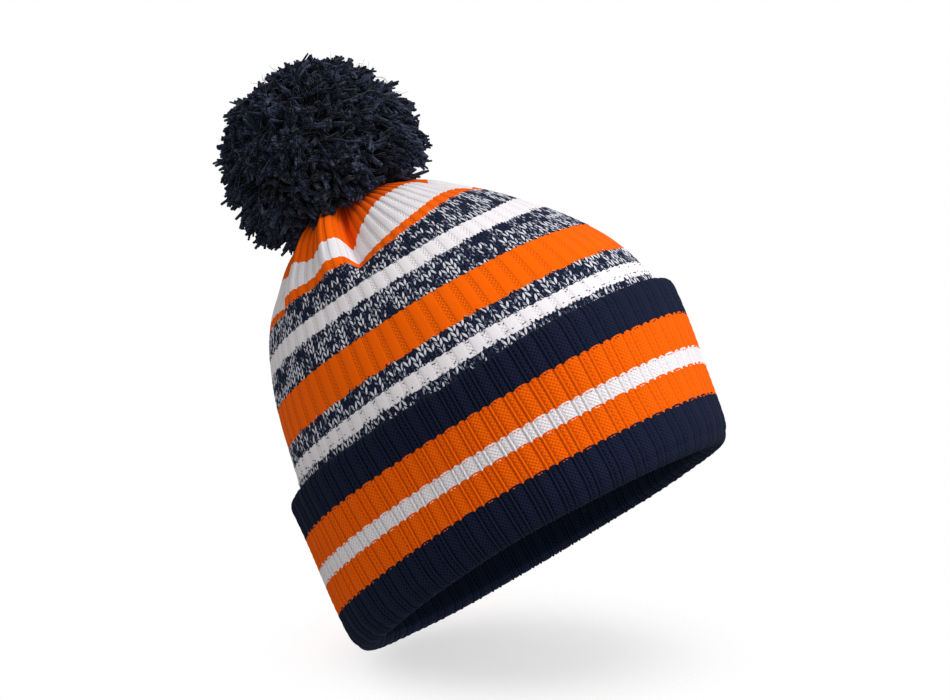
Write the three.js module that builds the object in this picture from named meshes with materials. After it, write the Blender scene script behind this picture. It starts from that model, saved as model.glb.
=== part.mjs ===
// Cuffed bobble hat: a double-layer rib-knit tube, gathered at the crown, its edge turned up once
// as a deep cuff, with a cut-yarn pompom tied on top. Millimetres, +Z up, standing on its brim.
// The origin is the middle of the brim's oval. X runs across the wide way, and -Y faces forward.
import * as THREE from 'three';

// ---- driving dimensions ------------------------------------------------------------------
const ringSteps = 36;            // facets round every knitted layer
const bodySteps = 14;            // profile steps from brim to crown
const cuffSteps = 5;
const foldSteps = 6;
const cordSteps = 16;            // facets round the knot and the tie
const pomTurnSteps = 28;
const pomSkinSteps = 12;
const layerThickness = 2.6;      // one layer of rib knit
const layerGap = 0.4;            // between neighbouring layers
const layerPitch = layerThickness + layerGap;

const brimHeight = 3.6;          // the turned edge that the hat stands on
const brimChamfer = 3.5;
const bodyFoot = 4;              // where the standing layers begin, just above the turned edge
const cuffTop = 80;              // the two cuff layers end here
const cuffFoldTop = 84;          // top of the fold that joins them

const ovalBrim = 0.8;            // depth over width at the brim
const ovalCrown = 0.92;          // the gathered crown is nearly round
const ovalFrom = 90;             // the oval grows rounder above this height
const swayAmount = 5.4;          // how far the stuffed tube wanders sideways
const swayLength = 190;
const swayCentre = -0.5;         // puts the widest part's box on the origin

const crownTop = 202;
const crownHole = 9;             // radius of the drawn-up hole in the crown
const gatherRing = 6;            // the drawn yarn's ring radius
const gatherYarn = 1.3;          // its own radius
const crownGatherDrop = 1.3;     // from the crown's top down to each layer's drawn yarn
const liningGatherDrop = 4.4;

const tiePivot = 204;            // the pompom rocks about this height
const tieRadius = 2.2;
const lowerShank = { low: tiePivot - 0.5, high: tiePivot + 3, radius: 3 };
const upperShank = { low: tiePivot + 4.4, high: tiePivot + 6.2, radius: 2.6 };
const tieCordFoot = 210.8;       // where the strands enter the pompom
const knotRadius = 5;
const knotHeight = 9;

const pomCentre = 233;
const pomHalfWidth = 53.5;
const pomHalfHeight = 49.5;
const pomBore = 7.5;             // room round the tie inside the pompom
const pomBoreTop = pomCentre + 4;
const pomUnderside = [[pomBore, 207.5], [22, 209.3], [44, 208]];   // hollowed to clear the crown
const pomRim = 209;              // the ball's skin begins at this height
const bindingRing = 4.4;
const bindingYarn = 1.6;
const bindingDrop = 2;           // below the pompom's centre
const tieCordDrop = 7;           // the strands end here, under the binding

const labelWidth = 22;
const labelLength = 38;
const labelThickness = 0.6;
const labelTop = 60;
const labelClearance = 1.2;      // from the lining to the label's middle
const labelFromSeam = 4;         // from the back's middle to the label's near edge
const tackThickness = 1.2;       // the row of stitches that holds the label's top
const tackHeight = 1.4;
const tackInset = 1;
const seamRadius = 0.8;
const seamClearance = 0.5;

// Outer half-widths (radius before the oval is applied, height), from brim to crown.
// Inside the cuff, the body follows the cuff's two layers with a little slack.
const cuffOutline = [[107.2, bodyFoot], [109.4, 12], [110.6, 46], [111.8, cuffTop]];
const cuffSlack = 0.8;
const bodyInCuff = cuffOutline.map(([r, z]) => [r - 2 * layerPitch - cuffSlack, z]);
const bodyOutline = [...bodyInCuff, [102.8, 94], [95.6, 118], [83.6, 142], [67.6, 166],
  [54.5, 178.5], [41, 190], [25, 198.5], [crownHole, crownTop]];

// ---- materials ----------------------------------------------------------------------------
const yarn = (color) => new THREE.MeshStandardMaterial({ color, roughness: 0.92, metalness: 0 });
const orangeYarn = yarn('#fa6400');
const navyYarn = yarn('#10162b');
const pomYarn = yarn('#171c31');
const cordYarn = yarn('#1c2237');
const seamThread = yarn('#20263b');
const satin = new THREE.MeshStandardMaterial({ color: '#e9e7e2', roughness: 0.55, metalness: 0 });

// ---- shared shape helpers -----------------------------------------------------------------
const smooth = (t) => THREE.MathUtils.smoothstep(t, 0, 1);
const ovalAt = (z) => ovalBrim + (ovalCrown - ovalBrim) * smooth((z - ovalFrom) / (crownTop - ovalFrom));

// Sideways place of the tube's middle at a height.
function middleAt(z) {
  const height = Math.min(z, swayLength);
  return swayCentre - swayAmount * Math.cos((2 * Math.PI * height) / swayLength);
}

const crownMiddle = middleAt(crownTop);

// A smooth outline through the given points, as evenly spaced profile points.
function outline(points, steps) {
  const curve = new THREE.SplineCurve(points.map(([r, z]) => new THREE.Vector2(r, z)));
  return curve.getSpacedPoints(steps);
}

// The outline moved inwards, square to itself; its two ends move level or straight down.
function inset(points, depth) {
  const last = points.length - 1;
  return points.map((point, i) => {
    const along = points[Math.min(i + 1, last)].clone().sub(points[Math.max(i - 1, 0)]).normalize();
    const normal = new THREE.Vector2(along.y, -along.x);
    const isEnd = i === 0 || i === last;
    if (isEnd) normal.set(Math.round(normal.x), Math.round(normal.y)).normalize();
    return point.clone().addScaledVector(normal, -depth);
  });
}

// Turns a closed profile about the hat's axis, then presses the ring into the head's oval.
function knitRing(profile) {
  const geometry = turned([...profile, profile[0].clone()], ringSteps);
  const position = geometry.getAttribute('position');
  for (let i = 0; i < position.count; i += 1) {
    const z = position.getZ(i);
    position.setX(i, position.getX(i) + middleAt(z));
    position.setY(i, position.getY(i) * ovalAt(z));
  }
  geometry.computeVertexNormals();
  return geometry;
}

// A lathe shape about +Z.
function turned(points, steps) {
  const geometry = new THREE.LatheGeometry(points, steps);
  geometry.rotateX(Math.PI / 2);
  return geometry;
}

const asPoints = (pairs) => pairs.map(([r, z]) => new THREE.Vector2(r, z));

// One layer of fabric between two depths below an outline.
function layer(points, depth) {
  const far = inset(points, depth + layerThickness);
  return [...inset(points, depth), ...far.reverse()];
}

// A round yarn along a path, closed at both ends.
function yarnAlong(path, radius, steps) {
  const section = new THREE.Shape().absarc(0, 0, radius, 0, 2 * Math.PI, false);
  const settings = { extrudePath: path, steps, curveSegments: 4, bevelEnabled: false };
  return new THREE.ExtrudeGeometry(section, settings);
}

// A ring of yarn lying level.
const yarnRing = (ring, radius) => new THREE.TorusGeometry(ring, radius, 6, 18);

function piece(name, geometry, material) {
  const mesh = new THREE.Mesh(geometry, material);
  mesh.name = name;
  return mesh;
}

const bodyProfile = outline(bodyOutline, bodySteps);
const cuffProfile = outline(cuffOutline, cuffSteps);

// ---- the knitted tube ---------------------------------------------------------------------
// The outer layer of the body, from the brim up to the drawn hole in the crown.
const knitShell = () => piece('knit_shell', knitRing(layer(bodyProfile, 0)), orangeYarn);

// The inner layer of the same tube, against the head.
const lining = () => piece('lining', knitRing(layer(bodyProfile, layerPitch)), navyYarn);

// The outermost layer of the turned-up cuff, which shows the fabric's other side.
const cuffFace = () => piece('cuff_face', knitRing(layer(cuffProfile, 0)), navyYarn);

// The cuff's second layer, against the body.
const cuffBacking = () => piece('cuff_backing', knitRing(layer(cuffProfile, layerPitch)), navyYarn);

// The half-round fold where the two cuff layers meet at the top.
function cuffTopFold() {
  const base = cuffTop + layerGap;
  const half = (layerPitch + layerThickness) / 2;
  const middle = cuffProfile.at(-1).x - half;
  const profile = Array.from({ length: foldSteps + 1 }, (unused, i) => {
    const angle = (Math.PI * i) / foldSteps;
    const rise = (cuffFoldTop - base) * Math.sin(angle);
    return new THREE.Vector2(middle + half * Math.cos(angle), base + rise);
  });
  return piece('cuff_top_fold', knitRing(profile), navyYarn);
}

// The turn at the brim that joins body and cuff. Its flat underside is what the hat stands on.
function brimTurn() {
  const outer = cuffProfile[0].x;
  const inner = bodyProfile[0].x - layerPitch - layerThickness;
  const profile = asPoints([[outer - brimChamfer, 0], [outer, brimHeight], [inner, brimHeight],
    [inner + brimChamfer, 0]]);
  return piece('brim_turn', knitRing(profile), navyYarn);
}

// ---- gathers and seams --------------------------------------------------------------------
// The yarn that draws a layer's top edge together, inside the drawn hole.
function gatherYarnRing(name, z) {
  const ring = piece(name, yarnRing(gatherRing, gatherYarn), cordYarn);
  ring.position.set(crownMiddle, 0, z);
  return ring;
}

// A linked seam's ridge up the back, at a depth below an outline; a negative depth is outside it.
function backSeam(name, points, depth, from, to) {
  const route = inset(points, depth).slice(from, to)
    .map((point) => new THREE.Vector3(middleAt(point.y), point.x * ovalAt(point.y), point.y));
  return piece(name, yarnAlong(new THREE.CatmullRomCurve3(route), seamRadius, route.length + 4), seamThread);
}

function seams() {
  const reach = seamRadius + seamClearance;
  const aboveCuff = bodyProfile.findIndex((point) => point.y > cuffFoldTop + 1);
  const group = new THREE.Group();
  group.add(
    backSeam('shell_back_seam', bodyProfile, -reach, aboveCuff, bodyProfile.length - 1),
    backSeam('cuff_back_seam', cuffProfile, -reach, 0, cuffProfile.length),
    backSeam('lining_seam', bodyProfile, layerPitch + layerThickness + reach, 1, bodyProfile.length - 2),
  );
  return group;
}

// ---- care label ---------------------------------------------------------------------------
// A blank satin label hangs beside the lining's seam from its stitched top edge.
function careLabel() {
  const farEdge = labelFromSeam + labelWidth + swayAmount;
  const inside = bodyProfile[1].x - layerPitch - layerThickness;
  const y = ovalBrim * Math.sqrt(inside ** 2 - farEdge ** 2) - labelClearance;
  const x = middleAt(labelTop) + labelFromSeam + labelWidth / 2;
  const group = new THREE.Group();
  const label = piece('care_label', new THREE.BoxGeometry(labelWidth, labelThickness, labelLength), satin);
  label.position.set(x, y, labelTop - labelLength / 2);
  const tack = new THREE.BoxGeometry(labelWidth - 2 * tackInset, tackThickness, tackHeight);
  const stitches = piece('label_bar_tack', tack, seamThread);
  stitches.position.set(x, y, labelTop + layerGap + tackHeight / 2);
  group.add(label, stitches);
  return group;
}

// ---- the pompom and its tie ----------------------------------------------------------------
// Inside the crown: the knot under the lining, with its strands up through the drawn hole.
function tieKnot() {
  const top = crownTop - layerGap / 2;
  const knotTop = crownTop - 2 * layerPitch - 1;
  const foot = knotTop - knotHeight;
  const neck = 0.64 * knotRadius;
  const profile = asPoints([[0, foot], [neck, foot + 1], [knotRadius, foot + knotHeight / 2],
    [neck, knotTop - 1], [tieRadius, knotTop], [tieRadius, top], [0, top]]);
  return piece('tie_knot', turned(profile, cordSteps), cordYarn);
}

// A short upright length of the tie.
function tieLength(name, { low, high, radius }) {
  const profile = asPoints([[0, low], [radius, low], [radius, high], [0, high]]);
  return piece(name, turned(profile, cordSteps), cordYarn);
}

// The binding that grips the yarn bundle's waist.
function pomBinding() {
  const ring = piece('pom_binding', yarnRing(bindingRing, bindingYarn), cordYarn);
  ring.position.z = pomCentre - bindingDrop;
  return ring;
}

// The ball of cut yarn: a flattened ball with a hollowed, cone-shaped underside over the crown.
function pomBall() {
  const rim = Math.asin((pomRim - pomCentre) / pomHalfHeight);
  const skin = Array.from({ length: pomSkinSteps + 1 }, (unused, i) => {
    const angle = rim + ((Math.PI / 2 - rim) * i) / pomSkinSteps;
    const radius = i === pomSkinSteps ? 0 : pomHalfWidth * Math.cos(angle);
    return [radius, pomCentre + pomHalfHeight * Math.sin(angle)];
  });
  const bore = [[0, pomBoreTop], [pomBore, pomBoreTop]];
  return piece('pom_yarn', turned(asPoints([...bore, ...pomUnderside, ...skin]), pomTurnSteps), pomYarn);
}

// The tie above the crown has a length for each way that it bends, then the strands inside the pompom.
function pompom() {
  const group = new THREE.Group();
  group.position.x = crownMiddle;
  group.add(
    tieKnot(),
    tieLength('tie_shank_lower', lowerShank),
    tieLength('tie_shank_upper', upperShank),
    tieLength('pom_tie_cord', { low: tieCordFoot, high: pomCentre - tieCordDrop, radius: tieRadius }),
    pomBinding(),
    pomBall(),
  );
  return group;
}

const beanie = new THREE.Group();
beanie.add(
  knitShell(),
  lining(),
  cuffFace(),
  cuffBacking(),
  cuffTopFold(),
  brimTurn(),
  gatherYarnRing('crown_gather_yarn', crownTop - crownGatherDrop),
  gatherYarnRing('lining_gather_yarn', crownTop - liningGatherDrop),
  seams(),
  careLabel(),
  pompom(),
);

export default beanie;
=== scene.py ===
import math
from functools import partial
import bpy
import numpy as np
from mathutils import Matrix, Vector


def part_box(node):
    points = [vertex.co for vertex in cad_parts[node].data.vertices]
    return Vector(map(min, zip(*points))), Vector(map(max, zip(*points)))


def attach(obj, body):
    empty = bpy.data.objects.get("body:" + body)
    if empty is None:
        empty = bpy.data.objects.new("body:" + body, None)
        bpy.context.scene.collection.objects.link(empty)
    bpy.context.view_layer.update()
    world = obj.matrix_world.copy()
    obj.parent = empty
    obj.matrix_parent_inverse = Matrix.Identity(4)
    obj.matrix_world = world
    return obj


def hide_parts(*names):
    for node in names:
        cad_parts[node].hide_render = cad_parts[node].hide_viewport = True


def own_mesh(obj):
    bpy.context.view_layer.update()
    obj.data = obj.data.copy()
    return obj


# A cuffed rib-knit hat with a cut-yarn pompom, standing on its brim. Lengths are in mm until addPiece.
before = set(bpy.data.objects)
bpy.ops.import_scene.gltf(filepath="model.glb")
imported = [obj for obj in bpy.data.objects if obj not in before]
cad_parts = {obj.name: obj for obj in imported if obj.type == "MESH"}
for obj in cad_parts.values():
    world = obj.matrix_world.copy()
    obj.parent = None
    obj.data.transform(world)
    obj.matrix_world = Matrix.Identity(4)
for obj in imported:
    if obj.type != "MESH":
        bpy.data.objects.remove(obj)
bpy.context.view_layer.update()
print("frame loaded:", len(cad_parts), "nodes")

mm = 0.001
rng = np.random.default_rng(31)


def linear(hexColour):
    # an sRGB hex value as a linear RGBA colour
    s = np.array([int(hexColour[i:i + 2], 16) / 255 for i in (1, 3, 5)])
    rgb = np.where(s <= 0.04045, s / 12.92, ((s + 0.055) / 1.055) ** 2.4)
    return (*rgb, 1.0)


def nodeBox(name):
    # a CAD node's lowest and highest corners, in mm
    low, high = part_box(name)
    return np.array(low) / mm, np.array(high) / mm


def ease(t):
    # 0 below 0, 1 above 1, with a smooth cubic between
    t = np.clip(t, 0, 1)
    return t * t * (3 - 2 * t)


def bump(x, centre, width):
    # a bell of height 1
    return np.exp(-((x - centre) / width) ** 2)


def wrapped(x):
    # the signed distance round a circle of length 1, from -0.5 to 0.5
    return x - np.round(x)


def unit(v):
    return v / np.maximum(np.linalg.norm(v, axis=-1, keepdims=True), 1e-9)


def evenCurve(points, step):
    # a Catmull-Rom curve through the points, walked in equal steps; gives the places and their arc lengths
    points = np.asarray(points, float)
    padded = np.vstack([2 * points[0] - points[1], points, 2 * points[-1] - points[-2]])
    t = np.linspace(0, 1, 40, endpoint=False)[:, None]
    spans = [0.5 * (2 * b + (c - a) * t + (2 * a - 5 * b + 4 * c - d) * t ** 2
                    + (3 * b - a - 3 * c + d) * t ** 3)
             for a, b, c, d in zip(padded, padded[1:], padded[2:], padded[3:])]
    dense = np.vstack(spans + [points[-1:]])
    along = np.r_[0, np.cumsum(np.linalg.norm(np.diff(dense, axis=0), axis=1))]
    even = np.linspace(0, along[-1], max(2, round(along[-1] / step) + 1))
    places = np.stack([np.interp(even, along, column) for column in dense.T], axis=1)
    return places, even


def arc(centre, radius, start, end, count=7):
    # points on a circle, angles in degrees
    angle = np.radians(np.linspace(start, end, count))
    return np.stack([centre[0] + radius * np.cos(angle), centre[1] + radius * np.sin(angle)], axis=1).tolist()


def addObject(name, data):
    thing = bpy.data.objects.new(name, data)
    bpy.context.collection.objects.link(thing)
    return thing


def addPiece(name, verts, quads, material, slot, body, replaces=(), attributes=None, loopUv=None):
    # a mesh from whole arrays; verts in mm, quads as vertex numbers
    mesh = bpy.data.meshes.new(name)
    mesh.vertices.add(len(verts))
    mesh.vertices.foreach_set("co", (np.asarray(verts, float) * mm).astype(np.float32).ravel())
    sides = quads.shape[1]
    mesh.loops.add(quads.size)
    mesh.loops.foreach_set("vertex_index", quads.astype(np.int32).ravel())
    mesh.polygons.add(len(quads))
    mesh.polygons.foreach_set("loop_start", np.arange(0, quads.size, sides, dtype=np.int32))
    mesh.update(calc_edges=True)
    for key, values in (attributes or {}).items():
        layer = mesh.attributes.new(key, "FLOAT", "POINT")
        layer.data.foreach_set("value", np.asarray(values, float).astype(np.float32).ravel())
    if loopUv is not None:
        mesh.uv_layers.new(name="weave").data.foreach_set("uv", loopUv.astype(np.float32).ravel())
    mesh.shade_smooth()
    mesh.validate()
    mesh.materials.append(material)
    piece = addObject(name, mesh)
    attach(piece, body)
    if replaces:
        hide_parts(*replaces)
    return piece


def gridQuads(rows, columns, closed):
    # quads over a grid; closed joins the last column to the first
    index = np.arange(rows * columns).reshape(rows, columns)
    right = np.roll(index, -1, axis=1) if closed else index[:, 1:]
    left = index if closed else index[:, :-1]
    return np.stack([left[:-1], right[:-1], right[1:], left[1:]], axis=-1).reshape(-1, 4)


def manyGrids(points, closed=False):
    # many equal grids in one mesh: points are grids x rows x columns x 3
    count, rows, columns = points.shape[:3]
    quads = gridQuads(rows, columns, closed)
    starts = np.arange(count) * rows * columns
    return points.reshape(-1, 3), (quads[None] + starts[:, None, None]).reshape(-1, 4)


def ringPiece(name, points, uvGrid, gather, **rest):
    # a band right round the hat: points are rows x columns x 3, uvGrid has one column more
    rows, columns = points.shape[:2]
    corners = np.stack([uvGrid[:-1, :-1], uvGrid[:-1, 1:], uvGrid[1:, 1:], uvGrid[1:, :-1]], axis=2)
    drawn = {"gather": gather + np.zeros((rows, columns))}
    return addPiece(name, points.reshape(-1, 3), gridQuads(rows, columns, True), attributes=drawn,
                    loopUv=corners.reshape(-1, 2), **rest)


def plug(owner, node, inputs):
    # an input takes a value, or a link from another node or from one of its outputs
    for key, source in inputs.items():
        if isinstance(source, bpy.types.Node):
            source = source.outputs[0]
        if isinstance(source, bpy.types.NodeSocket):
            owner.node_tree.links.new(source, node.inputs[key])
        else:
            node.inputs[key].default_value = source


def addNode(owner, kind, inputs=None, **settings):
    # one node with its settings, its inputs' values and its links
    node = owner.node_tree.nodes.new("ShaderNode" + kind)
    for key, value in settings.items():
        setattr(node, key, value)
    plug(owner, node, inputs or {})
    return node


def newMaterial(name):
    # gives the material, the function that adds a node to it, and the one that dresses its shader
    material = bpy.data.materials.new(name)
    material.use_nodes = True
    shader = material.node_tree.nodes["Principled BSDF"]
    return material, partial(addNode, material), partial(plug, material, shader)


def setRamp(node, stops):
    # colour ramp stops as (place, hex)
    ramp = node.color_ramp
    while len(ramp.elements) > 1:
        ramp.elements.remove(ramp.elements[-1])
    for i, (place, colour) in enumerate(stops):
        element = ramp.elements[0] if i == 0 else ramp.elements.new(place)
        element.position = place
        element.color = linear(colour)


# Acrylic yarn is dull, with a soft bloom of fibre ends at grazing angles.
yarnLook = {"Roughness": 0.92, "Specular IOR Level": 0.06, "Sheen Weight": 0.02, "Sheen Roughness": 0.5}
pomLook = {"Roughness": 0.85, "Specular IOR Level": 0.12, "Sheen Weight": 0.1, "Sheen Roughness": 0.45}


def ribKnitAcrylic(name, colour, dotPaintedShade, groovePaintedShade, rib):
    # Plain-yarn rib knit. Each rib is a smooth strip with a groove at either edge, darkened with painted shade,
    # and purl between the strips, whose stitches are staggered dots 1.1 mm apart, with painted shade in the
    # hollows between them. UV is in ribs across and mm up. The two shade numbers are how dark that painted
    # shade is in this yarn; both fade where the fabric is stretched.
    material, add, dress = newMaterial(name)
    weave = add("UVMap", uv_map="weave")
    part = add("SeparateXYZ", {"Vector": weave.outputs["UV"]})
    half = add("Math", {0: part.outputs["X"], 1: 0.5}, operation="ADD")
    inRib = add("Math", {0: half}, operation="FRACT")
    offMiddle = add("Math", {0: inRib, 1: 0.5}, operation="SUBTRACT")
    side = add("Math", {0: offMiddle}, operation="ABSOLUTE")
    offStrip = add("Math", {0: side, 1: rib["smoothMiddle"]}, operation="SUBTRACT")
    stripSide = add("Math", {0: offStrip}, operation="ABSOLUTE")
    beyond = add("Math", {0: stripSide, 1: rib["smoothHalf"]}, operation="SUBTRACT")
    purl = add("MapRange", {"Value": beyond, "From Min": 0.0, "From Max": 0.02})
    fromLine = add("Math", {0: beyond}, operation="ABSOLUTE")
    groove = add("MapRange", {"Value": fromLine, "From Min": 0.0, "From Max": rib["line"],
                              "To Min": groovePaintedShade, "To Max": 1.0})
    across = add("Math", {0: part.outputs["X"], 1: 2 * math.pi * rib["pitch"] / 2.2}, operation="MULTIPLY")
    up = add("Math", {0: part.outputs["Y"], 1: 2 * math.pi / 2.1}, operation="MULTIPLY")
    acrossWave = add("Math", {0: across}, operation="SINE")
    upWave = add("Math", {0: up}, operation="SINE")
    lattice = add("Math", {0: acrossWave, 1: upWave}, operation="MULTIPLY")
    inMm = add("VectorMath", {0: weave.outputs["UV"], 1: (rib["pitch"], 1.0, 1.0)}, operation="MULTIPLY")
    fibre = add("TexNoise", {"Vector": inMm, "Scale": 1.3, "Detail": 4.0, "Roughness": 0.65})
    soft = add("MapRange", {"Value": fibre.outputs["Fac"], "From Min": 0.25, "From Max": 0.75,
                            "To Min": 0.88, "To Max": 1.1})
    dots = add("MapRange", {"Value": lattice, "From Min": -0.9, "From Max": 0.2,
                            "To Min": dotPaintedShade, "To Max": 1.03})
    dotsHere = add("Mix", {"Factor": purl, "A": 1.0, "B": dots}, data_type="FLOAT")
    # painted shade: dark dots in the hollows between the purl bumps, with a slight painted highlight on their
    # tops, times dark lines in the grooves
    both = add("Math", {0: dotsHere, 1: groove}, operation="MULTIPLY")
    gather = add("Attribute", attribute_name="gather")
    eased = add("Mix", {"Factor": gather.outputs["Fac"], "A": 0.96, "B": both}, data_type="FLOAT")
    toneAndPaintedLight = add("Math", {0: eased, 1: soft}, operation="MULTIPLY")
    yarn = add("VectorMath", {0: linear(colour)[:3], 1: toneAndPaintedLight}, operation="MULTIPLY")
    dotHeight = add("Math", {0: lattice, 1: purl}, operation="MULTIPLY")
    height = add("Math", {0: dotHeight, 1: fibre.outputs["Fac"]}, operation="ADD")
    raised = add("Bump", {"Height": height, "Strength": 0.6, "Distance": 0.3 * mm})
    dress({**yarnLook, "Base Color": yarn, "Normal": raised})
    return material


def marlKnitAcrylic():
    # Navy and white plies twisted into one thick yarn. Each leg of a V-shaped stitch is 2.3 mm wide and 3.2 mm
    # high; a random number for each stitch and leg says which ply lies on top, and a streaky noise splits them.
    material, add, dress = newMaterial("marlKnitAcrylic")
    weave = add("UVMap", uv_map="weave")
    part = add("SeparateXYZ", {"Vector": weave.outputs["UV"]})
    inWale = add("Math", {0: part.outputs["X"]}, operation="FRACT")
    offCentre = add("Math", {0: inWale, 1: 0.5}, operation="SUBTRACT")
    leg = add("Math", {0: offCentre}, operation="ABSOLUTE")
    slant = add("Math", {0: leg, 1: -2 * bodyRib["marlSlant"]}, operation="MULTIPLY")
    course = add("Math", {0: part.outputs["Y"], 1: slant}, operation="ADD")
    courseNumber = add("Math", {0: course}, operation="FLOOR")
    waleNumber = add("Math", {0: part.outputs["X"]}, operation="FLOOR")
    halves = add("Math", {0: part.outputs["X"], 1: 2.0}, operation="MULTIPLY")
    legNumber = add("Math", {0: halves}, operation="FLOOR")
    stitchPlace = add("CombineXYZ", {"X": waleNumber, "Y": courseNumber})
    legPlace = add("CombineXYZ", {"X": legNumber, "Y": courseNumber, "Z": 7.0})
    stitchLuck = add("TexWhiteNoise", {"Vector": stitchPlace}, noise_dimensions="3D")
    legLuck = add("TexWhiteNoise", {"Vector": legPlace}, noise_dimensions="3D")
    spread = add("Math", {0: legNumber, 1: 5.37}, operation="MULTIPLY")
    acrossYarn = add("Math", {0: course, 1: 2.4}, operation="MULTIPLY")
    alongYarn = add("Math", {0: leg, 1: 5.0}, operation="MULTIPLY")
    streakPlace = add("CombineXYZ", {"X": spread, "Y": acrossYarn, "Z": alongYarn})
    streaks = add("TexNoise", {"Vector": streakPlace, "Scale": 1.0, "Detail": 2.0, "Roughness": 0.6})
    drift = add("TexNoise", {"Vector": weave.outputs["UV"], "Scale": 0.21, "Detail": 1.0, "Roughness": 0.5})
    luck = add("Math", {0: stitchLuck.outputs["Value"], 1: legLuck.outputs["Value"]}, operation="ADD")
    luckShare = add("Math", {0: luck, 1: 0.3}, operation="MULTIPLY")
    streakShare = add("Math", {0: streaks.outputs["Fac"], 1: 0.75, 2: luckShare}, operation="MULTIPLY_ADD")
    ply = add("Math", {0: drift.outputs["Fac"], 1: 0.25, 2: streakShare}, operation="MULTIPLY_ADD")
    isWhite = add("MapRange", {"Value": ply, "From Min": 0.74, "From Max": 0.86})
    legTurn = add("Math", {0: leg, 1: 2 * math.pi}, operation="MULTIPLY")
    legWave = add("Math", {0: legTurn}, operation="SINE")
    courseTurn = add("Math", {0: course, 1: math.pi}, operation="MULTIPLY")
    courseWave = add("Math", {0: courseTurn}, operation="SINE")
    strand = add("Math", {0: courseWave}, operation="ABSOLUTE")
    yarnRound = add("Math", {0: strand, 1: legWave}, operation="MULTIPLY")
    onTop = add("MapRange", {"Value": yarnRound, "From Min": 0.22, "From Max": 0.5})
    white = add("Math", {0: isWhite, 1: onTop}, operation="MULTIPLY")
    plies = add("ValToRGB", {"Fac": white})
    setRamp(plies, [(0.0, "#1f263d"), (0.5, "#70768a"), (1.0, "#dedde5")])
    # painted shade: the colour darkens in the gaps between the round strands
    shade = add("MapRange", {"Value": yarnRound, "From Min": 0.02, "From Max": 0.4,
                             "To Min": 0.3, "To Max": 1.0})
    colour = add("VectorMath", {0: plies, 1: shade}, operation="MULTIPLY")
    raised = add("Bump", {"Height": streaks.outputs["Fac"], "Strength": 0.6, "Distance": 0.4 * mm})
    dress({**yarnLook, "Base Color": colour, "Normal": raised})
    return material


def yarnTexture(name, stops, scale, look=yarnLook, toneAndLightShare=0.0):
    # Yarn whose plies are in the mesh: a fine fibre noise picks among the stops, lifted by a per-point
    # attribute that holds random brightness and, on the pompom, painted shade at the roots and a painted
    # highlight at the tips.
    material, add, dress = newMaterial(name)
    spot = add("TexCoord")
    fibre = add("TexNoise", {"Vector": spot.outputs["Object"], "Scale": scale, "Detail": 3.0, "Roughness": 0.6})
    toneAndPaintedLight = add("Attribute", attribute_name="strandToneAndPaintedLight")
    lift = add("Math", {0: toneAndPaintedLight.outputs["Fac"], 1: toneAndLightShare, 2: fibre.outputs["Fac"]},
               operation="MULTIPLY_ADD")
    ramp = add("ValToRGB", {"Fac": lift})
    setRamp(ramp, stops)
    raised = add("Bump", {"Height": fibre.outputs["Fac"], "Strength": 0.4, "Distance": 0.2 * mm})
    dress({**look, "Base Color": ramp, "Normal": raised})
    return material


def wovenSatin():
    # Woven satin ribbon: long floats across it give a soft sheen and a fine ribbed weave, about 1 mm apart.
    material, add, dress = newMaterial("wovenSatin")
    spot = add("TexCoord")
    floats = add("TexWave", {"Vector": spot.outputs["Object"], "Scale": 320.0, "Distortion": 1.5,
                             "Detail": 2.0}, bands_direction="Z")
    ramp = add("ValToRGB", {"Fac": floats.outputs["Fac"]})
    setRamp(ramp, [(0.0, "#d9d6cf"), (1.0, "#f2f0eb")])
    raised = add("Bump", {"Height": floats.outputs["Fac"], "Strength": 0.3, "Distance": 0.1 * mm})
    dress({"Roughness": 0.42, "Sheen Weight": 0.2, "Base Color": ramp, "Normal": raised})
    return material


# What stands for the whole knitted tube: its ribs, its oval, and the way that it wanders as it is worn.
tube = {
    "columns": 1152,        # divides by the cuff's and the body's ribs
    "courseStep": 0.7,      # rows of the mesh
    "cuffRepeats": 48,
    "bodyRibs": 64,
    "ovalBrim": 0.8,        # depth over width
    "ovalCrown": 0.92,
    "sway": 5.4,            # how far the stuffed tube wanders sideways
    "swayLength": 190.0,
    "facing": -70.0,        # degrees round the oval where a wide cuff panel is centred
    "arch": (3.6, -82.0, 40.0, 70.0),   # the brim's front is pulled up: mm, degrees, width, gone by this height
    "stretched": (0.48, -12.0, 36.0),   # the ribs are smoother here: how much, degrees, width
    "halfWidth": 104.0,
}

foldTop = nodeBox("cuff_top_fold")[1][2]
crownTop = nodeBox("knit_shell")[1][2]
gatherLow, gatherHigh = nodeBox("crown_gather_yarn")
middleX = (gatherLow[0] + gatherHigh[0]) / 2
facing = math.radians(tube["facing"])


def turnFrom(turn, degrees):
    return np.degrees(np.angle(np.exp(1j * (turn - math.radians(degrees)))))


def ovalAt(z):
    return tube["ovalBrim"] + (tube["ovalCrown"] - tube["ovalBrim"]) * ease((z - 90) / (crownTop - 90))


def middleAt(z):
    # the sideways place of the tube's middle
    height = np.minimum(z, tube["swayLength"])
    return middleX + tube["sway"] - tube["sway"] * np.cos(2 * np.pi * height / tube["swayLength"])


def onOval(radius, z, turn):
    # a half-width, a height and a turn as a place; the small sine term evens out the ribs round the oval
    flat = ovalAt(z)
    angle = turn + (1 - flat) / (2 * (1 + flat)) * np.sin(2 * turn)
    pulled, place, wide, fade = tube["arch"]
    height = z + pulled * bump(turnFrom(turn, place), 0, wide) * (1 - ease(z / fade))
    x = middleAt(z) + radius * np.cos(angle)
    return np.stack([x, radius * flat * np.sin(angle), height + 0 * radius], axis=-1)


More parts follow.
